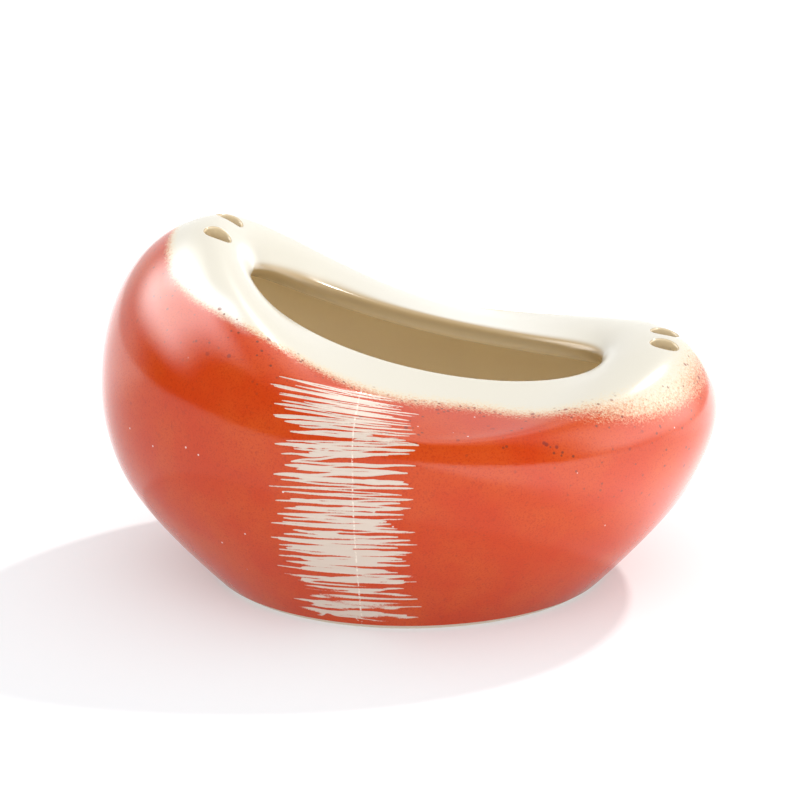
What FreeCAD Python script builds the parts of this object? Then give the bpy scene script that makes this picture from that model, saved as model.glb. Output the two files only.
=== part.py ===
"""Hanging ceramic vase: a low oval pot whose top dips between a tall end and a low end.

The vase is one fired clay shell under two coats of glaze, so it has three pieces. It stands
on its foot at z = 0, +Z is up, the tall end points to -X and the low end to +X. Two pairs of
holes, one pair in each end, take the cord that it hangs from. Lengths are millimetres.

Every wall is a cubic spline skin over a net of points. The net's rows are level or tilted
ovals that run round the vase, one above the other, from the foot up over the shoulder to the
mouth. An inner wall or a coat of glaze is the same skin, moved square to itself.
"""
import FreeCAD, Part
import math
import os

Vector = FreeCAD.Vector

# Overall sizes
vase_length = 200.0
vase_width = 154.4
tall_end_height = 114.0
low_end_height = 80.0
side_height = 75.2

# Foot and floor
foot_length = 128.0
foot_width = 115.0
foot_ring_width = 9.0
foot_recess = 2.0
floor_thickness = 6.0
floor_round = 9.0

# Mouth and wall
mouth_length = 118.0
mouth_width = 62.2
mouth_shift = 5.8
wall = 5.0

# Hanging holes, one pair in each end
hole_radius = 4.8
tall_hole_gap = 19.6
low_hole_gap = 14.0

# Glaze. Seen from above, the red ends and the cream starts along a slightly squared oval, which
# is shifted to the low end and to the back
glaze_thickness = 0.5
bare_foot_height = 1.6
border_length_share = 0.942
border_width_share = 0.902
border_squareness_share = 0.07
border_shift = 6.0
border_back_shift = 9.0
border_cutter_start = 56.0

# One length by which every cutter passes the face that it cuts
overrun = 2.0

# Rows of the net below and at the widest stretch, from the foot up. Spread is 0 at the foot
# and 1 at the widest; rise is a share of the height of the top in the same direction. Each
# row has its tall end, its low end and its sides, in that order.
lower_spread_shares = [(0, 0, 0), (0.696, 0.695, 0.648), (1.005, 1.005, 0.990), (1.029, 1.029, 1.017)]
lower_rise_shares = [(0, 0, 0), (0.194, 0.319, 0.341), (0.390, 0.601, 0.602), (0.630, 0.788, 0.794)]

# Rows of the net over the shoulder and down to the mouth. Spread is 1 at the widest and 0 at
# the mouth.
upper_spread_shares = [(0.846, 0.718, 0.975), (0.457, 0.368, 0.914), (0.051, 0.073, 0.681), (0, 0, 0)]
upper_rise_shares = [(0.861, 0.977, 0.908), (1.006, 1.013, 0.917), (1.018, 0.970, 0.954), (0.863, 0.901, 1)]

# The body is a little wider towards its tall end, and the mouth a little fuller than an oval
tall_side_fullness_share = 0.03
mouth_squareness_share = 0.025

# Places along the profile, 0 at the foot's edge and 1 at the mouth's edge
tall_hole_share = 0.90
low_hole_share = 0.72

# Half a circle drawn by a cubic curve has handles this much of its width
round_nose_share = 2 / 3

# One turn round the vase starts at the low end and passes a side, the tall end, the other side
side_share = 0.25
tall_end_share = 0.5

# The net has this many points in each row. Even, so that its two halves mirror each other
poles_round = 24
degree = 3

# A place at a given height is found by halving a stretch of the profile this often
halvings = 40


def wave(order, step):
    """Cosine of a whole number of waves round a row, raised so that the skin reaches it."""
    pitch = 2 * math.pi / poles_round
    gain = 3 / (2 + math.cos(order * pitch))
    return gain * math.cos(order * pitch * step)


def ripple(order, step):
    """Sine of a whole number of waves round a row, raised in the same way."""
    pitch = 2 * math.pi / poles_round
    gain = 3 / (2 + math.cos(order * pitch))
    return gain * math.sin(order * pitch * step)


def oval_row(reach, rise, squareness=0):
    """Points of one row: reach and rise are (tall end, low end, side) lengths from the axis."""
    middle = (reach[1] - reach[0]) / 2
    half_length = (reach[1] + reach[0]) / 2
    mean = (rise[0] + rise[1]) / 4 + rise[2] / 2
    tilt = (rise[1] - rise[0]) / 2
    saddle = (rise[0] + rise[1]) / 4 - rise[2] / 2
    row = []
    for step in range(-1, poles_round - 1):
        x = middle + half_length * (wave(1, step) - squareness * wave(3, step))
        side = ripple(1, step) + squareness * ripple(3, step)
        y = reach[2] * (side - tall_side_fullness_share / 2 * ripple(2, step))
        z = mean + tilt * wave(1, step) + saddle * wave(2, step)
        row.append(Vector(x, y, z))
    return row


def between(start, end, shares):
    """Lengths from start to end, each by its own share."""
    return [a + share * (b - a) for a, b, share in zip(start, end, shares)]


def outer_net():
    """Rows of the clay's outer skin, from the foot's edge to the mouth's edge."""
    foot = (foot_length / 2, foot_length / 2, foot_width / 2)
    widest = (vase_length / 2, vase_length / 2, vase_width / 2)
    mouth = (mouth_length / 2 - mouth_shift, mouth_length / 2 + mouth_shift, mouth_width / 2)
    top = (tall_end_height, low_end_height, side_height)
    level = (0, 0, 0)
    net = []
    for spread, rise in zip(lower_spread_shares, lower_rise_shares):
        net.append(oval_row(between(foot, widest, spread), between(level, top, rise)))
    for spread, rise in zip(upper_spread_shares, upper_rise_shares):
        squareness = mouth_squareness_share * (1 - spread[2])
        net.append(oval_row(between(mouth, widest, spread), between(level, top, rise), squareness))
    return net


def skin(net):
    """Cubic spline surface over a net: u runs up the profile, v runs round the vase."""
    spans = len(net) - degree
    up_counts = [degree + 1] + [1] * (spans - 1) + [degree + 1]
    up_knots = [knot / spans for knot in range(spans + 1)]
    round_knots = [knot / poles_round for knot in range(poles_round + 1)]
    surface = Part.BSplineSurface()
    surface.buildFromPolesMultsKnots(
        net, up_counts, [1] * (poles_round + 1), up_knots, round_knots, False, True, degree, degree
    )
    return surface


def finer(net):
    """The same skin with a row more between each pair, so that it can be moved evenly."""
    surface = skin(net)
    spans = len(net) - degree
    middles = [(2 * knot + 1) / (2 * spans) for knot in range(spans)]
    surface.insertUKnots(middles, [1] * spans, 0, True)
    return surface.getPoles()


def square_to(net, row, column):
    """Unit vector that leaves the net square to it, away from the clay."""
    below = net[max(row - 1, 0)][column]
    above = net[min(row + 1, len(net) - 1)][column]
    ahead = net[row][(column + 1) % poles_round]
    behind = net[row][column - 1]
    return (ahead - behind).cross(above - below).normalize()


def moved(net, distance):
    """The net moved square to itself, outwards where the distance is positive."""
    return [
        [point + square_to(net, row, column) * distance for column, point in enumerate(points)]
        for row, points in enumerate(net)
    ]


def level_row(inset, height):
    """Level oval inside the foot's outline, narrowed by inset."""
    reach = (foot_length / 2 - inset, foot_length / 2 - inset, foot_width / 2 - inset)
    return oval_row(reach, (height, height, height))


def inner_net(outer, depth, floor_height):
    """Rows of an inner skin, from the floor up: the outer net moved in by depth, on a floor."""
    floor_rows = [level_row(depth + floor_round, floor_height), level_row(depth, floor_height)]
    return floor_rows + moved(outer, -depth)[2:]


def lip(outer, inner):
    """Round nose that joins the last rows of the outer and inner nets at the mouth."""
    outer_handles = []
    inner_handles = []
    for last, before, under in zip(outer[-1], outer[-2], inner[-1]):
        reach = (last - before).normalize() * (last - under).Length * round_nose_share
        outer_handles.append(last + reach)
        inner_handles.append(under + reach)
    return skin([outer[-1], outer_handles, inner_handles, inner[-1]])


def ring_edge(surface, place):
    """Closed edge round a skin at one place of its profile."""
    return surface.uIso(place).toShape()


def disc(surface, place=0):
    """Flat face inside a level ring of a skin."""
    return Part.Face(Part.Wire(ring_edge(surface, place)))


def closed_solid(faces):
    """Solid inside faces that meet along their edges."""
    sewn = Part.makeCompound(faces)
    sewn.sewShape()
    solid = Part.makeSolid(sewn.Shells[0])
    if solid.Volume < 0:
        solid.reverse()
    return solid


def place_at_height(surface, height):
    """Place on the lower part of a skin's profile where its sides reach a height."""
    low, high = 0, low_hole_share
    for _ in range(halvings):
        middle = (low + high) / 2
        if surface.value(middle, side_share).z < height:
            low = middle
        else:
            high = middle
    return low


def turn_at_offset(surface, place, end, offset):
    """Place round the vase where a ring near one end stands off the middle plane by offset."""
    turn = math.asin(offset / surface.value(place, side_share).y) / (2 * math.pi)
    return turn % 1 if end > 0 else (tall_end_share - turn) % 1


def hole_cutters():
    """Four round cutters square to the wall: a pair in the tall end and a pair in the low end."""
    surface = skin(finer(outer_net()))
    depth = wall + glaze_thickness + overrun
    cutters = []
    for place, gap, end in ((tall_hole_share, tall_hole_gap, -1), (low_hole_share, low_hole_gap, 1)):
        for side in (-1, 1):
            turn = turn_at_offset(surface, place, end, side * gap / 2)
            away = surface.normal(place, turn)
            if away.z < 0:
                away = -away
            start = surface.value(place, turn) - away * depth
            cutters.append(Part.makeCylinder(hole_radius, 2 * depth, start, away))
    return cutters


def foot_recess_cutter():
    """Shallow oval hollow under the floor, sloped like its ring, which the vase stands on."""
    wires = []
    for height in (-overrun, foot_recess):
        curve = Part.BSplineCurve()
        curve.interpolate(Points=level_row(foot_ring_width + height, height), PeriodicFlag=True)
        wires.append(Part.Wire(curve.toShape()))
    return Part.makeLoft(wires, True, True)


def clay_body():
    """Fired clay shell: outer wall, round lip, inner wall and floor, on a foot ring."""
    outer = finer(outer_net())
    inner = inner_net(outer, wall, floor_thickness)
    outer_skin = skin(outer)
    inner_skin = skin(inner)
    shell = closed_solid([
        disc(outer_skin), outer_skin.toShape(), lip(outer, inner).toShape(),
        inner_skin.toShape(), disc(inner_skin),
    ])
    return shell.cut([foot_recess_cutter()] + hole_cutters())


def outer_coat():
    """Glaze on the whole outer wall, from just above the ground to the mouth's edge."""
    under = skin(finer(outer_net()))
    over = skin(moved(finer(outer_net()), glaze_thickness))
    start = place_at_height(under, bare_foot_height)
    faces = []
    for surface in (under, over):
        piece = surface.copy()
        piece.segment(start, 1, 0, 1)
        faces.append(piece.toShape())
    for place in (start, 1):
        faces.append(Part.makeRuledSurface(ring_edge(under, place), ring_edge(over, place)))
    return closed_solid(faces)


def inner_coat():
    """Glaze round the lip and on the whole inside, closed by a disc on the floor."""
    clay = finer(outer_net())
    inner = inner_net(clay, wall, floor_thickness)
    over = moved(clay, glaze_thickness)
    over_inner = inner_net(clay, wall + glaze_thickness, floor_thickness + glaze_thickness)
    faces = [Part.makeRuledSurface(ring_edge(skin(clay), 1), ring_edge(skin(over), 1))]
    for outside, inside in ((clay, inner), (over, over_inner)):
        faces += [lip(outside, inside).toShape(), skin(inside).toShape(), disc(skin(inside))]
    return closed_solid(faces)


def border_column():
    """Upright column whose side passes through the border between the two glazes."""
    along = border_length_share * vase_length / 2
    reach = (along - border_shift, along + border_shift, border_width_share * vase_width / 2)
    level = (border_cutter_start, border_cutter_start, border_cutter_start)
    curve = Part.BSplineCurve()
    curve.interpolate(Points=oval_row(reach, level, border_squareness_share), PeriodicFlag=True)
    column = Part.Face(Part.Wire(curve.toShape())).extrude(Vector(0, 0, tall_end_height))
    column.translate(Vector(0, border_back_shift, 0))
    return column


def red_glaze():
    """Sprayed coat on the outer wall, from just above the ground to the shoulder."""
    return outer_coat().cut(border_column())


def cream_glaze():
    """Coat over the top of the shoulder, the lip and the whole inside."""
    top = outer_coat().common(border_column())
    return top.fuse(inner_coat()).removeSplitter().cut(hole_cutters())


PARTS = {"clay_body": clay_body, "red_glaze": red_glaze, "cream_glaze": cream_glaze}


if __name__ == "__main__":
    os.makedirs("parts", exist_ok=True)
    for name, make in PARTS.items():
        shape = make()
        shape.exportStep("parts/" + name + ".step")
        box = shape.optimalBoundingBox()
        print(name, "valid", shape.isValid(), "solids", len(shape.Solids), "volume", round(shape.Volume))
        print("  box", [round(v, 2) for v in (box.XMin, box.YMin, box.ZMin, box.XMax, box.YMax, box.ZMax)])
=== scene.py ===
"""Looks of the hanging vase: its coats of glaze, worked out from the rows that the clay is drawn with.

Lengths are millimetres until a mesh is made, and metres from there on. A skin is a cubic spline
surface over rows: `place` runs from 0 at the foot's edge to 1 at the mouth's edge, and `turn` runs
round the vase in radians, 0 at the low end and half a turn at the tall end.
"""
import math

import bmesh
import bpy
import numpy as np
from mathutils import Matrix, Vector


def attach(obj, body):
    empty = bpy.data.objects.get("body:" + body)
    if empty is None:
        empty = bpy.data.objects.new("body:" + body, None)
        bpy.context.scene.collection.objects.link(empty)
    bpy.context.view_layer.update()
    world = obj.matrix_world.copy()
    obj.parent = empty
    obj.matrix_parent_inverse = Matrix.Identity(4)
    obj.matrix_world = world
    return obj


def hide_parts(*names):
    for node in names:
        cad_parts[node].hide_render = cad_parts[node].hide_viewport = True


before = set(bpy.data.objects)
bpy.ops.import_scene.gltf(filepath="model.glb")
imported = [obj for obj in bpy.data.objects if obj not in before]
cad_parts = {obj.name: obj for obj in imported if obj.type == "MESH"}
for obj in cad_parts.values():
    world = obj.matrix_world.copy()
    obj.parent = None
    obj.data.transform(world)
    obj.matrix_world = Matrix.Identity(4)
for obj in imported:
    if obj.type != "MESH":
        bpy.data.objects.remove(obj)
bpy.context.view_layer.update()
MM = 0.001

# Camera, found from the outlines of the vase in the photograph. It sees as far as 50 metres
camera_turn = 6.466
camera_rise = 18.178
camera_distance = 749.2
camera_aim = Vector((0, 0, 55))
focal_pixels = 2295.8
picture_pixels = 800
aim_right_pixels = -9.03
aim_up_pixels = 2.22
sensor_width = 36
farthest_seen = 50

# Clay, the same sizes and shares as the solids have
vase_length = 200.0
vase_width = 154.4
tall_end_height = 114.0
low_end_height = 80.0
side_height = 75.2
foot_length = 128.0
foot_width = 115.0
floor_thickness = 6.0
floor_round = 9.0
mouth_length = 118.0
mouth_width = 62.2
mouth_shift = 5.8
wall = 5.0
lower_spread_shares = [(0, 0, 0), (0.696, 0.695, 0.648), (1.005, 1.005, 0.990), (1.029, 1.029, 1.017)]
lower_rise_shares = [(0, 0, 0), (0.194, 0.319, 0.341), (0.390, 0.601, 0.602), (0.630, 0.788, 0.794)]
upper_spread_shares = [(0.846, 0.718, 0.975), (0.457, 0.368, 0.914), (0.051, 0.073, 0.681), (0, 0, 0)]
upper_rise_shares = [(0.861, 0.977, 0.908), (1.006, 1.013, 0.917), (1.018, 0.970, 0.954), (0.863, 0.901, 1)]
tall_side_fullness_share = 0.03
mouth_squareness_share = 0.025
round_nose_share = 2 / 3
row_pitch = 2 * math.pi / 24
plain_rows = 8
finer_rows = 13

# Cord holes. Glaze lines them, so the opening is a little less than the clay's. A hole's walls reach
# no farther than hole_depth along its axis, and the ring shares run from the grid's cells to its rim
hole_radius = 4.2
clay_hole_radius = 4.8
hole_rim = 0.7
hole_margin = 1.3
tall_hole_gap = 19.6
low_hole_gap = 14.0
tall_hole_share = 0.90
low_hole_share = 0.72
hole_depth = 9.0
hole_ring_shares = (0.34, 0.67, 1)
rim_bends = (math.pi / 6, math.pi / 3, math.pi / 2)

# Glaze. Seen from above, the paint starts along a squared oval whose front is drawn in by a dip
glaze_thickness = 0.5
bare_foot_height = 1.6
paint_half_length = 85.0
paint_half_width = 65.5
paint_shift = 9.0
paint_back_shift = 9.0
paint_squareness = 3.3
paint_dip = 7.0
paint_dip_x = 25.0
paint_dip_width = 20.0
shoulder_height = 69.0

# Searches on a skin: halvings for the border, from a place below it, and Newton's steps for the rings
# round a hole, with a nudge to each side for the slope
lowest_border_place = 0.45
halvings = 30
newton_steps = 12
nudge = 0.01

# Spray: its edge is crisp at the tall end and grows soft towards the middle
crisp_share = 0.3
crisp_x = -60.0
soft_x = 10.0
least_fade = -30.0
most_fade = 60.0

# Thick run of cream inside the border, at the front of the tall end
run_start_x = -70.0
run_end_x = -46.0
run_end_blur = 4.0
run_inset = 3.0
run_half_width = 2.2
run_least_height = 60.0

# Scratched band: its middle is the mould's seam, and its strokes lie in the sprayed coat. Shares of
# level and tilt are of the coat's height. The last two are for points with no stroke or seam near
seam_x = -8.0
band_left = 26.5
band_right = 19.5
stroke_seed = 11
stroke_count = 126
stroke_half_width = 0.35
stroke_width_shares = (0.55, 1.55)
stroke_end_share = 0.30
left_ends_spread = 12.0
right_ends_spread = 10.0
ends_shape = (1.2, 1.5)
lowest_stroke_share = 0.018
level_spread_share = 0.0058
bow_spread = 0.25
sway_spread = 0.13
short_count = 22
short_middles = (-14, 10)
short_reaches = (4, 9)
short_tilt_share = 0.006
no_stroke = 1.5
far_across = 150.0

# Press of the strokes: from where to where it deepens, inside a stroke's edge and off the coat's ends
stroke_depth = 0.2
press_flank = (-0.15, 0.25)
press_margin = (0.2, 1.2)

# Meshes of the coats. The dense columns run past the band on both sides
dense_columns = 120
dense_past_left = 11.0
dense_past_right = 9.0
front_length_per_radian = 82.0
other_columns = 118
sprayed_rows = 371
seam_row = 180
back_row_step = 15
cream_columns = 300
cream_outer_rows = 56
cream_inner_rows = 66
nose_rows = 11
floor_rings = 7
sharp_degrees = 50

# Painted shade of the lip: tan stands for the shade where the lip turns into the mouth. It starts
# some rows before the mouth's edge behind and some past it in front, goes over from one to the
# other within a swing of y, and ends round the inner skin's first row, where the inside's cream,
# painted lighter and tan for the light bounced in there, takes over. A cord hole's rim gets a
# painted shade between the two
shade_rows_behind = 3
shade_rows_in_front = 4
shade_swing_y = 5.0
shade_blur_rows = 3
inside_blur_rows = (-10.0, 2.0)
hole_rim_shade = 0.75

# Finishes: the grains, how far each grain pushes an edge to and fro, and where the edges lie, in
# millimetres past the border or from a stroke or the seam. Waves are wave_share times the grain's height
fine_grain = 0.55
glaze_grain = 0.9
glaze_clouds = 16.0
glaze_waves = 20.0
glaze_bump = 0.020
gold_push = 14.0
fine_push = 12.0
grain_push = 8.0
stroke_push = 0.22
gold_edge = (-9.0, 1.0)
spray_edge = (-5.0, 4.0)
specks_start = (-8.0, -2.0)
specks_end = (18.0, 40.0)
bare_edge = (0.08, -0.08)
seam_edge = (0.36, 0.10)
red_roughness = 0.12
cream_extra_roughness = 0.10
bare_extra_roughness = 0.33
glaze_shine = 0.42
wave_share = 11.0
bare_level = 0.2
brown_specks = {"apart": 2.8, "radius": 0.43, "patch": 7.0, "least": 0.47}
dark_dots = {"apart": 5.0, "radius": 0.68, "patch": 11.0, "least": 0.49}
pinholes = {"apart": 7.0, "radius": 0.31, "patch": 13.0, "least": 0.52}
clay_grain = 1.2
clay_bump = 0.05
clay_roughness = 0.8

# Light: the floor, whose edges are in metres, the room from each side, the arch and the backdrop
# that the glaze mirrors, and the sun behind on the right
floor_half_width = 3.0
floor_front = -1.4
floor_back = 5.0
floor_lift = 0.30
floor_glare = 0.20
floor_glare_right = 1.4
floor_glare_behind = 0.8
room_strength = 0.8
room_glow = 0.50
room_front = 1.65
room_right = 0.30
room_above = 0.95
room_drop_share = 0.75
mirrored_front = 0.04
mirrored_backdrop = 1.5
arch_strength = 1.0
arch_left = 9.5
arch_right = 5.0
arch_turn = 0.3
sun_strength = 1.6
sun_degrees = 4.0
sun_colour = (1.0, 0.97, 0.93)
sun_way = Vector((0.56, 0.73, 1.0))


def basis(places, count):
    """Cubic B-spline weights of count rows: each degree blends two neighbours of the degree below."""
    knots = np.concatenate([np.zeros(3), np.linspace(0, 1, count - 2), np.ones(3)])
    places = np.clip(np.asarray(places, float), 0, 1 - 1e-9)[..., None]
    weights = ((knots[:-1] <= places) & (places < knots[1:])).astype(float)
    for degree in (1, 2, 3):
        rising = knots[degree:-1] - knots[:-degree - 1]
        falling = knots[degree + 1:] - knots[1:-degree]
        up = np.where(rising > 0, (places - knots[:-degree - 1]) / np.where(rising > 0, rising, 1), 0)
        down = np.where(falling > 0, (knots[degree + 1:] - places) / np.where(falling > 0, falling, 1), 0)
        weights = up * weights[..., :-1] + down * weights[..., 1:]
    return weights


def skin(rows, places):
    """Points of a skin: rows blended by their spline weights. places is one list for every column
    of the rows, or a grid with a list for each column."""
    weights = basis(places, len(rows))
    if weights.ndim == 2:
        return np.einsum("mk,knx->mnx", weights, rows)
    return np.einsum("mnk,knx->mnx", weights, rows)


def oval(reach, rise, turn, squareness=0):
    """Tilted, saddle-shaped oval: x and y follow the cosine and sine of turn, z follows turn and its
    double. reach and rise are (tall end, low end, side) lengths from the axis."""
    middle = (reach[1] - reach[0]) / 2
    half_length = (reach[1] + reach[0]) / 2
    mean = (rise[0] + rise[1]) / 4 + rise[2] / 2
    tilt = (rise[1] - rise[0]) / 2
    saddle = (rise[0] + rise[1]) / 4 - rise[2] / 2
    x = middle + half_length * (np.cos(turn) - squareness * np.cos(3 * turn))
    fullness = tall_side_fullness_share / 2 * np.sin(2 * turn)
    y = reach[2] * (np.sin(turn) + squareness * np.sin(3 * turn) - fullness)
    z = mean + tilt * np.cos(turn) + saddle * np.cos(2 * turn)
    return np.stack([x, y, z], -1)


def between(start, end, shares):
    """Lengths from start to end, each by its own share."""
    return [a + share * (b - a) for a, b, share in zip(start, end, shares)]


def clay_rows(turn):
    """The eight rows of the clay's outer skin at the given turns."""
    foot = (foot_length / 2, foot_length / 2, foot_width / 2)
    widest = (vase_length / 2, vase_length / 2, vase_width / 2)
    mouth = (mouth_length / 2 - mouth_shift, mouth_length / 2 + mouth_shift, mouth_width / 2)
    top = (tall_end_height, low_end_height, side_height)
    level = (0, 0, 0)
    rows = []
    for spread, rise in zip(lower_spread_shares, lower_rise_shares):
        rows.append(oval(between(foot, widest, spread), between(level, top, rise), turn))
    for spread, rise in zip(upper_spread_shares, upper_rise_shares):
        squareness = mouth_squareness_share * (1 - spread[2])
        rows.append(oval(between(mouth, widest, spread), between(level, top, rise), turn, squareness))
    return np.array(rows)


# Weights that turn the eight rows into thirteen, which draw the same skin
samples = np.linspace(0, 1, 400)
FINER = np.linalg.lstsq(basis(samples, finer_rows), basis(samples, plain_rows), rcond=None)[0]


def moved_rows(turn, distance):
    """Thirteen rows of the outer skin, moved square to themselves, outwards where positive."""
    rows = np.tensordot(FINER, clay_rows(turn), 1)
    along = np.tensordot(FINER, clay_rows(turn + row_pitch) - clay_rows(turn - row_pitch), 1)
    step = np.arange(len(rows))
    up = rows[np.minimum(step + 1, len(rows) - 1)] - rows[np.maximum(step - 1, 0)]
    square = np.cross(along, up)
    return rows + square / np.linalg.norm(square, axis=-1, keepdims=True) * distance


def level_row(inset, height, turn):
    """Level oval inside the foot's outline, narrowed by inset."""
    reach = (foot_length / 2 - inset, foot_length / 2 - inset, foot_width / 2 - inset)
    return oval(reach, (height, height, height), turn)


def inner_rows(turn, depth, floor_height):
    """Rows of an inner skin, from the floor up: two level ones and the outer ones moved in."""
    floor = [level_row(depth + floor_round, floor_height, turn), level_row(depth, floor_height, turn)]
    return np.concatenate([floor, moved_rows(turn, -depth)[2:]])


def lip_rows(outer, inner):
    """Four rows of the round nose from an outer skin's last row to an inner skin's. The two between
    go on from each skin's own last leg, by a share of the distance across."""
    width = np.linalg.norm(outer[-1] - inner[-1], axis=-1, keepdims=True)
    beyond = []
    for rows in (outer, inner):
        along = rows[-1] - rows[-2]
        reach = along / np.linalg.norm(along, axis=-1, keepdims=True) * width * round_nose_share
        beyond.append(rows[-1] + reach)
    return np.array([outer[-1], *beyond, inner[-1]])


def smooth(value, start, end):
    """Smooth step from 0 at start to 1 at end."""
    share = np.clip((value - start) / (end - start), 0, 1)
    return share * share * (3 - 2 * share)


def past_border(points):
    """Millimetres by which points lie outside the paint's border, seen from above: the sum of powers
    of x and y over the oval's half sizes, with its front moved in by a bell curve."""
    dip = paint_dip * np.exp(-((points[..., 0] - paint_dip_x) / paint_dip_width) ** 2)
    y = points[..., 1] - paint_back_shift
    y = np.where(y < 0, y - dip, y)
    x = np.abs((points[..., 0] - paint_shift) / paint_half_length)
    powers = x ** paint_squareness + np.abs(y / paint_half_width) ** paint_squareness
    return (powers ** (1 / paint_squareness) - 1) * (paint_half_length + paint_half_width) / 2


def border_places(turn):
    """Place on the outer coat where each column crosses the paint's border, by halving."""
    rows = moved_rows(turn, glaze_thickness)
    low = np.full(len(turn), lowest_border_place)
    high = np.ones(len(turn))
    for _ in range(halvings):
        middle = (low + high) / 2
        inside = past_border(skin(rows, middle[None])[0]) < 0
        high = np.where(inside, middle, high)
        low = np.where(inside, low, middle)
    return (low + high) / 2


def fade_of(points):
    """Millimetres past the border, over how soft the spray is there: crisp at the tall end. Under
    the shoulder, where the wall turns down, its drop counts too."""
    softness = crisp_share + (1 - crisp_share) * smooth(points[..., 0], crisp_x, soft_x)
    drop = np.maximum(shoulder_height - points[..., 2], 0)
    return np.clip((past_border(points) + drop) / softness, least_fade, most_fade)


def streak_of(points):
    """1 along the thick run of cream inside the border at the front of the tall end: a bell curve
    across it, times a smooth step at either end."""
    x = points[..., 0]
    started = smooth(x, run_start_x - run_end_blur, run_start_x + run_end_blur)
    along = started * (1 - smooth(x, run_end_x - run_end_blur, run_end_x + run_end_blur))
    across = np.exp(-((past_border(points) + run_inset * along) / run_half_width) ** 2)
    return along * across * (points[..., 1] < 0) * (points[..., 2] > run_least_height)


def place_at_height(height):
    """Place on the lower skin where the vase's side reaches a height."""
    places = np.linspace(0, 0.5, 2001)
    side = skin(moved_rows(np.array([math.pi / 2]), 0), places)[:, 0, 2]
    return float(np.interp(height, side, places))


def ring_faces(rows, columns, closed_rows=False):
    """Quads of a grid that closes round its columns, and round its rows too where asked."""
    i = np.arange(rows if closed_rows else rows - 1)[:, None]
    j = np.arange(columns)[None]
    ahead = (j + 1) % columns
    above = (i + 1) % rows
    corners = [i * columns + j, i * columns + ahead, above * columns + ahead, above * columns + j]
    return np.stack(corners, -1).reshape(-1, 4)


def make_piece(name, points, faces, finish, node, values):
    """Mesh object at the origin from points in millimetres, with its finish and named values, in place of
    the part named node, which it hides.
    """
    mesh = bpy.data.meshes.new(name)
    mesh.from_pydata((points * MM).tolist(), [], [face.tolist() for face in faces])
    values = {"fade": fade_of(points), "streak": streak_of(points), **values}
    for key, value in values.items():
        held = mesh.attributes.new(key, "FLOAT", "POINT").data
        held.foreach_set("value", value.astype(np.float32).ravel())
    turned = bmesh.new()
    turned.from_mesh(mesh)
    bmesh.ops.recalc_face_normals(turned, faces=turned.faces)
    turned.to_mesh(mesh)
    turned.free()
    mesh.polygons.foreach_set("use_smooth", np.ones(len(mesh.polygons), bool))
    mesh.set_sharp_from_angle(angle=math.radians(sharp_degrees))
    mesh.materials.append(finish)
    mesh.update()
    piece = bpy.data.objects.new(name, mesh)
    bpy.context.scene.collection.objects.link(piece)
    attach(piece, "root")
    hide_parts(node)


class Net:
    """Points with a value each, and the faces between them, put together ring by ring."""

    def __init__(self):
        self.points = []
        self.values = []
        self.faces = []
        self.count = 0

    def add(self, points, value):
        """Adds an array of points and returns their numbers, in the same order."""
        numbers = self.count + np.arange(points[..., 0].size).reshape(points.shape[:-1])
        self.points.append(points.reshape(-1, 3))
        self.values.append(np.broadcast_to(value, points.shape[:-1]).ravel())
        self.count += numbers.size
        return numbers

    def join(self, first, second):
        """Quads between two closed rings with as many points each."""
        self.faces += list(np.stack([first, np.roll(first, -1), np.roll(second, -1), second], -1))

    def close(self, ring, middle, value):
        """Triangles from a closed ring to one point."""
        tip = np.broadcast_to(self.add(middle[None], value), ring.shape)
        self.faces += list(np.stack([ring, np.roll(ring, -1), tip], -1))

    def zip(self, first, first_angle, second, second_angle):
        """Triangles between two rings round one axis: each point, in the order of its angle, is
        joined to the one before it on its own ring and to the last one reached on the other."""
        first = first[np.argsort(first_angle)]
        second = second[np.argsort(second_angle)]
        order = np.argsort(np.concatenate([first_angle, second_angle]))
        from_first = order < len(first)
        a = np.cumsum(from_first) - 1
        b = np.cumsum(~from_first) - 1
        before = np.where(from_first, first[(a - 1) % len(first)], second[(b - 1) % len(second)])
        after = np.where(from_first, first[a], second[b])
        other = np.where(from_first, second[b % len(second)], first[a % len(first)])
        self.faces += list(np.stack([before, after, other], -1))


class Value:
    """One output of a node. Sums written on it become Math nodes."""

    def __init__(self, finish, output):
        self.finish = finish
        self.output = output

    def math(self, operation, *others):
        """Math node with this value first and the others after it."""
        return self.finish.add("ShaderNodeMath", {"operation": operation}, dict(enumerate((self, *others))))

    def __add__(self, other):
        return self.math("ADD", other)

    def __mul__(self, other):
        return self.math("MULTIPLY", other)

    def __sub__(self, other):
        return self.math("SUBTRACT", other)

    def __rsub__(self, other):
        return self.finish.add("ShaderNodeMath", {"operation": "SUBTRACT"}, {0: other, 1: self})

    __radd__ = __add__
    __rmul__ = __mul__


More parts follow.
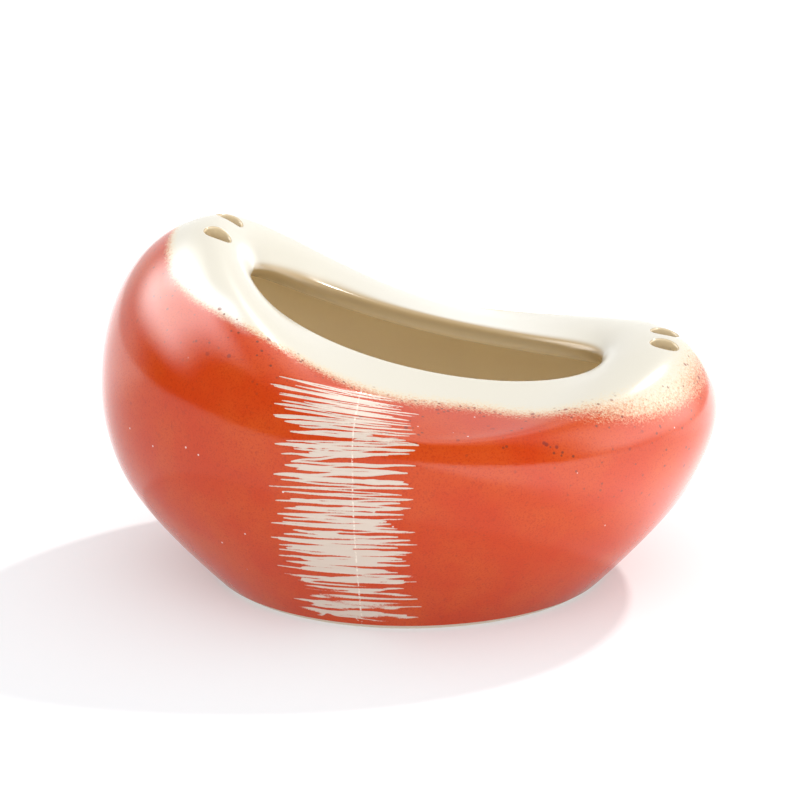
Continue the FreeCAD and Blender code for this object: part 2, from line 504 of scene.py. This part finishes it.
class Finish:
    """The nodes of a material or of the world, with one way to add a node."""

    def __init__(self, owner):
        owner.use_nodes = True
        self.owner = owner
        self.nodes = owner.node_tree.nodes
        self.links = owner.node_tree.links
        self.nodes.clear()

    def add(self, kind, settings=None, inputs=None, output=0):
        """Any node: its settings are made first, then its sockets get values or links."""
        node = self.nodes.new(kind)
        for key, value in (settings or {}).items():
            setattr(node, key, value)
        for key, value in (inputs or {}).items():
            if isinstance(value, Value):
                self.links.new(value.output, node.inputs[key])
            else:
                node.inputs[key].default_value = value
        return Value(self, node.outputs[output]) if node.outputs else None

    def place(self):
        """Position on the object, in metres."""
        return self.add("ShaderNodeTexCoord", output="Object")

    def read(self, name):
        """Value that the mesh holds at each point."""
        return self.add("ShaderNodeAttribute", {"attribute_name": name}, output="Fac")

    def noise(self, size, detail=2.0, roughness=0.5):
        """Cloudy noise whose blots are about size millimetres wide."""
        inputs = {"Vector": self.place(), "Scale": 1 / (size * MM), "Detail": detail, "Roughness": roughness}
        return self.add("ShaderNodeTexNoise", None, inputs)

    def specks(self, apart):
        """Distance from scattered points, 0 at a point, over apart, their spacing in millimetres."""
        return self.add("ShaderNodeTexVoronoi", None, {"Vector": self.place(), "Scale": 1 / (apart * MM)})

    def dots(self, apart, radius, patch, least):
        """Mask of dots with a radius, apart from each other and only in patches, all in millimetres.
        least is the noise from which a patch begins."""
        rim = 0.24 * radius
        near = self.step(self.specks(apart) * apart, radius + rim, radius - rim)
        patch_rim = 0.04
        return near * self.step(self.noise(patch), least - patch_rim, least + patch_rim)

    def step(self, value, start, end):
        """Smooth step from 0 at start to 1 at end."""
        inputs = {0: value, 1: start, 2: end, 3: 0.0, 4: 1.0}
        return self.add("ShaderNodeMapRange", {"interpolation_type": "SMOOTHSTEP"}, inputs)

    def blend(self, mask, under, over):
        """Colour that is under where mask is 0 and over where it is 1."""
        return self.add("ShaderNodeMix", {"data_type": "RGBA"}, {0: mask, 6: under, 7: over}, 2)

    def bump(self, height, depth):
        """Normal of a surface raised by height times depth, in millimetres."""
        return self.add("ShaderNodeBump", None, {"Strength": 1.0, "Distance": depth * MM, "Height": height})

    def surface(self, **sockets):
        """Ends the material with a principled shader."""
        names = {key.replace("_", " "): value for key, value in sockets.items()}
        shader = self.add("ShaderNodeBsdfPrincipled", None, names)
        self.add("ShaderNodeOutputMaterial", None, {"Surface": shader})
        return self.owner


def colour(red, green, blue):
    """Opaque colour from its linear parts."""
    return (red, green, blue, 1.0)


RED = colour(0.51, 0.042, 0.004)
DEEP_RED = colour(0.37, 0.025, 0.003)
ORANGE = colour(0.55, 0.086, 0.011)
GOLD = colour(0.74, 0.55, 0.27)
CREAM = colour(0.62, 0.59, 0.505)
WHITE = colour(0.88, 0.87, 0.84)
# Painted light and shade: the next two are tan painted as shade on the lip's turn and in the holes, and the
# inside's cream painted lighter and tan for the light bounced in there
LIP_SHADE_TAN = colour(0.38, 0.265, 0.122)
PAINTED_INSIDE_LIGHT = colour(0.95, 0.82, 0.58)
CLAY = colour(0.63, 0.53, 0.45)
CLAY_GRAIN = colour(0.66, 0.56, 0.44)
DARK_RED = colour(0.22, 0.022, 0.010)
SEAM = colour(0.88, 0.80, 0.70)
BROWN = colour(0.16, 0.032, 0.014)
FLOOR = colour(0.68, 0.70, 0.72)


def glaze_finish():
    """Glossy glaze: cream, and red sprayed on below the border over a golden edge, with
    specks, dots and pinholes, the mould's seam, and bare clay where a stroke scratches the red away. On
    the lip's turn and in the holes, tan is painted shade, and inside, the cream is painted lighter and
    tan for the light bounced in there."""
    finish = Finish(bpy.data.materials.new("glaze"))
    fade = finish.read("fade")
    inside = finish.read("inside")
    fine = finish.noise(fine_grain, detail=2.0, roughness=0.7)
    grain = finish.noise(glaze_grain, detail=3.0, roughness=0.65)
    cloud = finish.noise(glaze_clouds, detail=3.0, roughness=0.5)
    orange = finish.step(cloud, 0.3, 0.75) * 0.5
    deep = finish.step(fine, 0.46, 0.72) * 0.65
    red = finish.blend(deep, finish.blend(orange, RED, ORANGE), DEEP_RED)
    gold = finish.step(fade + (grain - 0.5) * gold_push, *gold_edge) * 0.60
    spray = finish.step(fade + (fine - 0.5) * fine_push + (grain - 0.5) * grain_push, *spray_edge)
    shade = finish.blend(spray, finish.blend(gold, CREAM, GOLD), red)
    shade = finish.blend(finish.read("streak"), shade, WHITE)
    # Painted shade in tan on the lip's turn, then painted light inside: the cream there is lighter and tan
    shade = finish.blend(finish.step(inside, 0.0, 0.5), shade, LIP_SHADE_TAN)
    shade = finish.blend(finish.step(inside, 0.5, 1.0), shade, PAINTED_INSIDE_LIGHT)
    near_border = finish.step(fade, *specks_start) * (1 - finish.step(fade, *specks_end) * 0.8)
    speckled = (1 - inside) * near_border * 0.85
    shade = finish.blend(finish.dots(**brown_specks) * speckled, shade, BROWN)
    shade = finish.blend(finish.dots(**dark_dots) * speckled, shade, DARK_RED)
    shade = finish.blend(finish.dots(**pinholes) * spray * (1 - inside) * 0.65, shade, WHITE)
    bare = finish.step(finish.read("from_stroke") + (fine - 0.5) * stroke_push, *bare_edge)
    shade = finish.blend(bare, shade, CLAY)
    seam = finish.step(finish.read("across_band").math("ABSOLUTE"), *seam_edge)
    worn_seam = seam * finish.step(grain, 0.44, 0.58) * spray * 0.7
    shade = finish.blend(worn_seam, shade, SEAM)
    roughness = red_roughness + (1 - spray) * cream_extra_roughness + bare * bare_extra_roughness
    waves = finish.noise(glaze_waves, detail=0.0) * wave_share
    normal = finish.bump(grain * (1 - bare) + bare * bare_level + waves, glaze_bump)
    gloss = {"Roughness": roughness, "Specular_IOR_Level": glaze_shine, "Normal": normal}
    return finish.surface(Base_Color=shade, **gloss)


def clay_finish():
    """Matt fired clay, pale and fine-grained."""
    finish = Finish(bpy.data.materials.new("fired_clay"))
    grain = finish.noise(clay_grain, detail=4.0, roughness=0.6)
    shade = finish.blend(grain, CLAY, CLAY_GRAIN)
    normal = finish.bump(grain, clay_bump)
    return finish.surface(Base_Color=shade, Roughness=clay_roughness, Normal=normal)


def column_turns():
    """Turns of the columns: about 4 mm apart round the vase and 0.6 mm apart in the scratched band.
    Near the seam, one radian of turn is front_length_per_radian long."""
    seam = -(math.pi / 2 + math.asin(-seam_x / (vase_length / 2)))
    start = seam - (band_left + dense_past_left) / front_length_per_radian
    end = seam + (band_right + dense_past_right) / front_length_per_radian
    dense = np.linspace(start, end, dense_columns)
    rest = np.linspace(end, start + 2 * math.pi, other_columns + 2)[1:-1]
    return np.concatenate([dense, rest])


def strokes():
    """Both ends across in millimetres and up as shares of the coat's height, and bow, sway and half
    width in millimetres, of every scratched stroke. One line goes to and fro from the top down, each
    stroke from the last one's end, and short ones lie over it."""
    draw = np.random.default_rng(stroke_seed)
    left = -band_left + left_ends_spread * draw.beta(*ends_shape, stroke_count)
    right = band_right - right_ends_spread * draw.beta(*ends_shape, stroke_count)
    across = np.where(np.arange(stroke_count) % 2 == 0, left, right)
    even = np.linspace(1, lowest_stroke_share, stroke_count)
    up = even + draw.normal(0, level_spread_share, stroke_count)
    ends = np.stack([across[:-1], across[1:], up[:-1], up[1:]], -1)
    middle = draw.uniform(*short_middles, short_count)
    reach = draw.uniform(*short_reaches, short_count)
    level = draw.uniform(0, 1, short_count)
    tilted = level + draw.normal(0, short_tilt_share, short_count)
    ends = np.concatenate([ends, np.stack([middle - reach, middle + reach, level, tilted], -1)])
    bow = draw.normal(0, bow_spread, len(ends))
    sway = draw.normal(0, sway_spread, len(ends))
    half_width = stroke_half_width * draw.uniform(*stroke_width_shares, len(ends))
    return np.column_stack([ends, bow, sway, half_width])


def stroke_distance(across, up, top):
    """Distance in millimetres from the edge of the nearest stroke, negative inside it and no_stroke
    far from all. Each stroke is a line with a parabola's bow and a sine's sway, widest in its middle
    and narrow at its ends."""
    nearest = np.full(across.shape, no_stroke)
    for start, end, start_up, end_up, bow, sway, half_width in strokes():
        share = np.clip((across - start) / (end - start), 0, 1)
        arch = 4 * share * (1 - share)
        middle = (start_up + share * (end_up - start_up)) * top
        middle = middle + bow * arch + sway * np.sin(5 * math.pi * share)
        beyond = across - (start + share * (end - start))
        half = half_width * (stroke_end_share + (1 - stroke_end_share) * np.sqrt(arch))
        nearest = np.minimum(nearest, np.hypot(beyond, up - middle) - half)
    return nearest


def arc_lengths(points, axis):
    """Length along a grid of points from its first one, along one axis."""
    steps = np.linalg.norm(np.diff(points, axis=axis), axis=-1)
    start = np.zeros_like(np.take(steps, [0], axis=axis))
    return np.concatenate([start, np.cumsum(steps, axis=axis)], axis=axis)


def red_coat(finish):
    """Sprayed coat: the outer skin from just above the ground to the border, pressed in along the
    strokes, closed behind by the clay's own skin."""
    turn = column_turns()
    border = border_places(turn)
    start = place_at_height(bare_foot_height)
    share = np.linspace(0, 1, sprayed_rows)
    places = start + share[:, None] * (border - start)[None]
    points = skin(moved_rows(turn, glaze_thickness), places)
    height = arc_lengths(points, 0)
    across = np.where(points[..., 1] < 0, points[..., 0] - seam_x, far_across)
    seam = np.argmin(np.abs(across[seam_row]))
    distance = stroke_distance(across, height, height[-1, seam])
    from_edge = np.minimum(height, height[-1] - height)
    pressed = smooth(-distance, *press_flank) * smooth(from_edge, *press_margin) * stroke_depth
    square = np.cross(np.gradient(points, axis=1), np.gradient(points, axis=0))
    square = square / np.linalg.norm(square, axis=-1, keepdims=True)
    points = points - square * pressed[..., None]
    back = skin(moved_rows(turn, 0), places[::-back_row_step])
    points = np.concatenate([points, back])
    pad = ((0, len(back)), (0, 0))
    values = {
        "from_stroke": np.pad(distance, pad, mode="edge"),
        "across_band": np.pad(across, pad, mode="edge"),
        "inside": np.zeros(points.shape[:2]),
    }
    faces = ring_faces(len(points), len(turn), True)
    make_piece("red_glaze_coat", points.reshape(-1, 3), faces, finish, "red_glaze", values)


class Hole:
    """A cord hole: its middle on the clay's outer skin, its axis out of the clay, and two lengths
    across it. end is 1 at the low end and -1 at the tall end, side is -1 in front and 1 behind."""

    def __init__(self, place, gap, end, side):
        reach = skin(moved_rows(np.array([math.pi / 2]), 0), np.array([place]))[0, 0, 1]
        turn = math.asin(side * gap / 2 / reach)
        turn = turn + 2 * math.pi if end > 0 else math.pi - turn
        near = np.array([-nudge, 0, nudge])
        grid = skin(moved_rows(turn + near, 0), place + near)
        self.middle = grid[1, 1]
        along = grid[1, 2] - grid[1, 0]
        axis = np.cross(along, grid[2, 1] - grid[0, 1])
        self.first = along / np.linalg.norm(along)
        self.axis = axis / np.linalg.norm(axis)
        self.second = np.cross(self.axis, self.first)

    def flat(self, points):
        """The two lengths of points across the axis."""
        away = points - self.middle
        return np.stack([away @ self.first, away @ self.second], -1)

    def reach(self, surface, start, target):
        """Places and points of a surface at the target lengths across the axis, by Newton's steps
        from the starting places, all with the slope in their middle."""
        centre = start.mean(0)
        steps = centre + nudge * np.array([(1, 0), (-1, 0), (0, 1), (0, -1)])
        sides = self.flat(surface(steps))
        slope = np.stack([sides[0] - sides[1], sides[2] - sides[3]], -1) / (2 * nudge)
        for _ in range(newton_steps):
            start = start + (target - self.flat(surface(start))) @ np.linalg.inv(slope).T
        return start, surface(start)

    def cut(self, net, numbers, points, places, turns, surface, radius, side):
        """Takes a block of cells out of a grid and fills it with rings that run to the hole, over a
        quarter-round rim. side is 1 on the outer skin and -1 on the inner one. Returns the block's
        rows and columns, and the last ring with its angles."""
        flat = self.flat(points)
        shallow = np.abs((points - self.middle) @ self.axis) <= hole_depth
        near = (np.hypot(flat[..., 0], flat[..., 1]) < radius + hole_rim + hole_margin) & shallow
        rows, columns = np.nonzero(near)
        low, high = rows.min() - 1, rows.max() + 1
        left, right = columns.min() - 1, columns.max() + 1
        up = np.arange(low, high)
        along = np.arange(left, right)
        row = np.concatenate([np.full(len(along), low), up, np.full(len(along), high), up[::-1] + 1])
        column = np.concatenate([along, np.full(len(up), right), along[::-1] + 1, np.full(len(up), left)])
        ring = numbers[row, column]
        start = np.stack([places[row, column], turns[column]], -1)
        edge = flat[row, column]
        angle = np.arctan2(edge[:, 1], edge[:, 0])
        outward = np.stack([np.cos(angle), np.sin(angle)], -1)
        # The outer skin's rings stay cream; the inner skin's rings take the inside's painted light, lighter
        # and tan
        level = 0.0 if side > 0 else 1.0
        for share in hole_ring_shares:
            target = edge + share * (outward * (radius + hole_rim) - edge)
            start, circle = self.reach(surface, start, target)
            before, ring = ring, net.add(circle, level)
            net.join(before, ring)
        away = outward[:, :1] * self.first + outward[:, 1:] * self.second
        for bend in rim_bends:
            drop = side * self.axis * (1 - math.cos(bend))
            # The rim's bends take a painted shade between the lip's tan and the inside's painted light
            before, ring = ring, net.add(circle - hole_rim * (away * math.sin(bend) + drop), hole_rim_shade)
            net.join(before, ring)
        return slice(low, high), slice(left, right), ring, angle


def coat_side(net, holes, turn, border, thickness, radius):
    """One side of the cream coat: the outer skin from the border to the mouth, the round lip, the
    inner skin and the floor, with the cord holes through it. A point's value is 0 on the cream, 0.5
    where tan painted shade covers the lip's turn, and 1 inside, where the cream is painted lighter and
    tan for bounced light. Returns the ring at the border."""
    outer = moved_rows(turn, thickness)
    inner = inner_rows(turn, wall + thickness, floor_thickness + thickness)
    out_places = border + np.linspace(0, 1, cream_outer_rows)[:, None] * (1 - border)
    in_places = np.linspace(1, 0, cream_inner_rows)[:, None] + 0 * border
    outside = skin(outer, out_places)
    nose = skin(lip_rows(outer, inner), np.linspace(0, 1, nose_rows + 2))[1:-1]
    inside = skin(inner, in_places)
    middle = inside[-1].mean(0)
    floor = middle + (inside[-1] - middle) * np.linspace(1, 0, floor_rings + 2)[1:-1, None, None]
    grid = np.concatenate([outside, nose, inside, floor])
    first_inside = len(outside) + len(nose)
    row = np.arange(len(grid))[:, None]
    # Painted light and shade on the lip: its nose goes from tan painted shade at the top to the inside's
    # lighter painted tan at the bottom, so that it reads evenly lit
    in_front = smooth(grid[..., 1], shade_swing_y, -shade_swing_y)
    first_shaded_row = len(outside) - shade_rows_behind + (shade_rows_behind + shade_rows_in_front) * in_front
    level = smooth(row - first_shaded_row, 0, shade_blur_rows) / 2
    level += smooth(row - first_inside, *inside_blur_rows) / 2
    numbers = net.add(grid, level)
    kept = np.ones((len(grid) - 1, len(turn)), bool)

    def outer_skin(where):
        return skin(moved_rows(where[:, 1], thickness), where[None, :, 0])[0]

    def inner_skin(where):
        rows = inner_rows(where[:, 1], wall + thickness, floor_thickness + thickness)
        return skin(rows, where[None, :, 0])[0]

    skins = ((0, out_places, outer_skin, 1), (first_inside, in_places, inner_skin, -1))
    for hole in holes:
        rings = []
        for first, places, surface, side in skins:
            part = slice(first, first + len(places))
            cut = hole.cut(net, numbers[part], grid[part], places, turn, surface, radius, side)
            rows, columns, ring, angle = cut
            kept[part][rows, columns] = False
            rings += [ring, angle]
        net.zip(*rings)
    faces = ring_faces(len(grid), len(turn)) + numbers[0, 0]
    net.faces += list(faces[kept.ravel()])
    net.close(numbers[-1], middle, 1.0)
    return numbers[0]


def cream_coat(finish):
    """Cream coat: its glazed side and the side on the clay, joined along the border."""
    turn = math.pi / 2 + np.linspace(0, 2 * math.pi, cream_columns + 1)[:-1]
    border = border_places(turn)
    ends = ((tall_hole_share, tall_hole_gap, -1), (low_hole_share, low_hole_gap, 1))
    holes = [Hole(place, gap, end, side) for place, gap, end in ends for side in (-1, 1)]
    net = Net()
    front = coat_side(net, holes, turn, border, glaze_thickness, hole_radius)
    back = coat_side(net, holes, turn, border, 0.0, clay_hole_radius)
    net.join(front, back)
    values = {
        "from_stroke": np.full(net.count, no_stroke),
        "across_band": np.full(net.count, far_across),
        "inside": np.concatenate(net.values),
    }
    points = np.concatenate(net.points)
    make_piece("cream_glaze_coat", points, net.faces, finish, "cream_glaze", values)


def make_camera():
    """Camera at its turn and rise round the aim, turned until the aim lies at its picture place."""
    turn = math.radians(camera_turn)
    rise = math.radians(camera_rise)
    back = Vector((math.sin(turn) * math.cos(rise), -math.cos(turn) * math.cos(rise), math.sin(rise)))
    right = Vector((math.cos(turn), math.sin(turn), 0))
    up = right.cross(-back)
    yaw = Matrix.Rotation(-math.atan(aim_right_pixels / focal_pixels), 3, up)
    right = yaw @ right
    ahead = yaw @ -back
    pitch = Matrix.Rotation(math.atan(aim_up_pixels / focal_pixels), 3, right)
    up = pitch @ up
    ahead = pitch @ ahead
    data = bpy.data.cameras.new("camera")
    data.sensor_width = sensor_width
    data.lens = data.sensor_width * focal_pixels / picture_pixels
    data.clip_end = farthest_seen
    camera = bpy.data.objects.new("camera", data)
    place = (camera_aim + back * camera_distance) * MM
    camera.matrix_world = Matrix.Translation(place) @ Matrix((right, up, -ahead)).transposed().to_4x4()
    bpy.context.scene.collection.objects.link(camera)
    bpy.context.scene.camera = camera


def make_floor():
    """Pale floor that keeps the vase's shadow and shows white round it. The vase gets more light back
    from it on the right and behind, where the sun falls on it."""
    finish = Finish(bpy.data.materials.new("floor"))
    seen = finish.add("ShaderNodeLightPath", output="Is Camera Ray")
    plain = finish.add("ShaderNodeBsdfDiffuse", None, {"Color": FLOOR})
    x, y = [finish.add("ShaderNodeSeparateXYZ", None, {0: finish.place()}, name) for name in "XY"]
    glare = floor_glare + finish.step(x, 0.08, 0.13) * floor_glare_right
    glare = glare + finish.step(y, 0.0, 0.20) * floor_glare_behind
    lift = finish.add("ShaderNodeEmission", None, {"Strength": seen * floor_lift + (1 - seen) * glare})
    both = finish.add("ShaderNodeAddShader", None, {0: plain, 1: lift})
    finish.add("ShaderNodeOutputMaterial", None, {"Surface": both})
    mesh = bpy.data.meshes.new("floor")
    corners = [(-1, floor_front), (1, floor_front), (1, floor_back), (-1, floor_back)]
    mesh.from_pydata([(side * floor_half_width, depth, 0) for side, depth in corners], [], [(0, 1, 2, 3)])
    mesh.materials.append(finish.owner)
    floor = bpy.data.objects.new("floor", mesh)
    bpy.context.scene.collection.objects.link(floor)


def make_room():
    """World: it lights most from the camera's side and from above, and a little from the right. What
    the glaze mirrors is a bright arch that runs from left to right over the vase, a plain backdrop,
    and a dim front. The camera sees it white."""
    world = bpy.data.worlds.new("room")
    bpy.context.scene.world = world
    room = Finish(world)
    way = room.add("ShaderNodeTexCoord", output="Generated")
    x, y, z = [room.add("ShaderNodeSeparateXYZ", None, {0: way}, name) for name in "XYZ"]
    low = 1 - room.step(z, 0.15, 0.80) * room_drop_share
    front = room.step(y, 0.30, -0.80) * room_front
    side = room.step(x, 0.10, 0.90) * room_right
    above = room.step(z, 0.55, 0.95) * room_above
    glow = room_glow + (front + side) * low + above
    turned = room.step(x, 0.0, 0.60) * arch_turn
    arch = room.step(y + turned, -0.42, -0.05) * room.step(y, 0.75, 0.30)
    arch = arch * room.step(z + turned, 0.15, 0.50)
    left_power = room.step(x, -0.10, -0.45) * arch_left
    power = arch_strength + left_power + room.step(x, 0.45, 1.05) * arch_right
    shine = mirrored_front + room.step(y, -0.10, 0.40) * mirrored_backdrop + arch * power
    mirrored = room.add("ShaderNodeLightPath", output="Is Glossy Ray")
    strength = (glow + mirrored * (shine - glow)) * room_strength
    seen = room.add("ShaderNodeLightPath", output="Is Camera Ray")
    strength = strength + seen * (1 - strength)
    light = room.add("ShaderNodeBackground", None, {"Color": colour(1, 1, 1), "Strength": strength})
    room.add("ShaderNodeOutputWorld", None, {"Surface": light})


def make_light():
    """Sun from behind on the right, turned until its shadow lies as in the photograph."""
    sun = bpy.data.lights.new("sun", "SUN")
    sun.energy = sun_strength
    sun.angle = math.radians(sun_degrees)
    sun.color = sun_colour
    lamp = bpy.data.objects.new("sun", sun)
    lamp.rotation_euler = sun_way.to_track_quat("Z", "Y").to_euler()
    bpy.context.scene.collection.objects.link(lamp)


make_camera()
glaze = glaze_finish()
red_coat(glaze)
cream_coat(glaze)
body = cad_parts["clay_body"]
body.data.materials.clear()
body.data.materials.append(clay_finish())
make_floor()
make_room()
make_light()
bpy.context.scene.view_settings.view_transform = "Standard"
